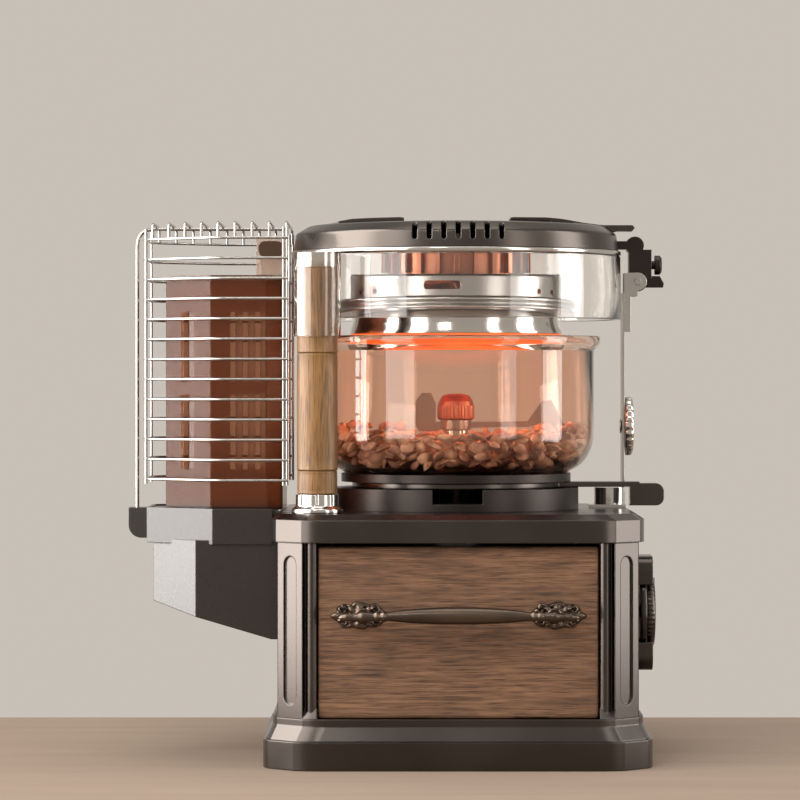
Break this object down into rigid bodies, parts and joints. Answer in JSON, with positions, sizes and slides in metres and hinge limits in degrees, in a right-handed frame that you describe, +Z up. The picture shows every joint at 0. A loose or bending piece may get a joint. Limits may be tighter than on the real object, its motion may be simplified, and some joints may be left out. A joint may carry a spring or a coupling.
{
  "type": "coffee bean roaster",
  "caption": "Countertop coffee bean roaster: stirred glass pot under a hinged heater lid, on a square cabinet with a wooden cooling drawer and a caged chaff collector.",
  "frame": {"origin": "middle of the base, on the surface the roaster stands on", "axes": "+X to the right seen from the front, +Y to the back, +Z up; the drawer faces -Y"},
  "size_m": [0.3309, 0.2442, 0.3299],
  "materials": {
    "gunmetal": "gloss",
    "side_metal": "satin",
    "dark_lid": "gloss",
    "rubber": "matte",
    "steel": "brushed",
    "chrome": "polished",
    "dark_steel": "satin",
    "black_plastic": "matte",
    "board": "matte",
    "drawer_wood": "satin",
    "pillar_wood": "satin",
    "bronze": "antique",
    "copper": "satin",
    "clear_glass": "clear",
    "amber": "translucent",
    "amber_dark": "gloss",
    "bracket_plastic": "gloss",
    "pot_glass": "clear",
    "fan_metal": "satin",
    "heater": "glowing"
  },
  "bodies": {
    "root": {"rubber_feet": "rubber", "plinth_lower": "gunmetal", "plinth_upper": "gunmetal", "corner_posts": "gunmetal", "side_panel_left": "side_metal", "side_panel_right": "side_metal", "rear_panel": "side_metal", "panel_screws": "steel", "power_inlet": "black_plastic", "control_board": "board", "deck": "gunmetal", "stir_motor": "steel", "cooling_fan_frame": "black_plastic", "drawer_rails": "steel", "knob_bezel": "gunmetal", "control_switch": "black_plastic", "seat_ring": "gunmetal", "trivet_disk": "dark_steel", "glass_pot": "pot_glass", "pillar_rings": "chrome", "pillar_segments": "pillar_wood", "pillar_sleeve": "clear_glass", "stay_foot": "chrome", "stay_plate": "steel", "hinge_bracket": "dark_steel", "hinge_pin": "steel", "chaff_bracket": "bracket_plastic", "cage_socket": "black_plastic"},
    "drawer": {"drawer_front": "drawer_wood", "drawer_tray": "steel", "cooling_screen": "steel", "handle_bar": "bronze", "handle_rosettes": "bronze"},
    "cooling_fan": {"cooling_fan_rotor": "black_plastic"},
    "control_knob": {"knob_skirt": "gunmetal", "knob_cap": "dark_lid"},
    "stirrer": {"stirrer_shaft": "chrome", "stirrer_column": "chrome", "stirrer_cap": "copper", "stirrer_blades": "steel"},
    "lever": {"lock_lever": "dark_steel"},
    "stay_clamp": {"stay_knob": "chrome"},
    "lid": {"lid_arm": "dark_steel", "lid_shell": "dark_lid", "lid_rim": "chrome", "lid_skirt": "clear_glass", "lid_floor": "steel", "lid_wings": "dark_lid", "fin_ring": "copper", "heater_housing": "steel", "reflector": "steel", "heater_element": "heater", "lid_fan_motor": "steel"},
    "lid_fan": {"lid_fan_rotor": "fan_metal"},
    "button": {"release_button": "dark_steel"},
    "chaff_collector": {"chaff_box": "amber", "chaff_box_lid": "amber_dark", "exhaust_duct": "amber_dark", "duct_cap": "amber_dark", "cage_wires": "chrome"}
  },
  "joints": [
    {"name": "drawer_slide", "type": "slide", "parent": "root", "child": "drawer", "axis": [0, -1, 0], "range_m": [0, 0.12]},
    {"name": "cooling_fan_spin", "type": "hinge", "parent": "root", "child": "cooling_fan", "pos_m": [0, 0, 0.012], "axis": [0, 0, 1], "continuous": true},
    {"name": "control_knob_turn", "type": "hinge", "parent": "root", "child": "control_knob", "pos_m": [0.11, 0, 0.087], "axis": [1, 0, 0], "range_deg": [0, 270]},
    {"name": "stirrer_spin", "type": "hinge", "parent": "root", "child": "stirrer", "pos_m": [0, 0, 0.15], "axis": [0, 0, 1], "continuous": true},
    {"name": "lever_turn", "type": "hinge", "parent": "root", "child": "lever", "pos_m": [0, 0, 0.166], "axis": [0, 0, 1], "range_deg": [-35, 0]},
    {"name": "stay_clamp_turn", "type": "hinge", "parent": "root", "child": "stay_clamp", "pos_m": [0.105, 0.022, 0.2013], "axis": [1, 0, 0], "range_deg": [0, 180]},
    {"name": "lid_hinge", "type": "hinge", "parent": "root", "child": "lid", "pos_m": [0.113, 0.022, 0.291], "axis": [0, 1, 0], "range_deg": [0, 90]},
    {"name": "lid_fan_spin", "type": "hinge", "parent": "lid", "child": "lid_fan", "pos_m": [0, 0, 0.286], "axis": [0, 0, 1], "continuous": true},
    {"name": "button_press", "type": "slide", "parent": "lid", "child": "button", "axis": [-1, 0, 0], "range_m": [0, 0.002], "stiffness_N_per_m": 200, "springref_m": -0.002},
    {"name": "chaff_lift", "type": "slide", "parent": "root", "child": "chaff_collector", "axis": [0, 0, 1], "range_m": [0, 0.06]}
  ]
}
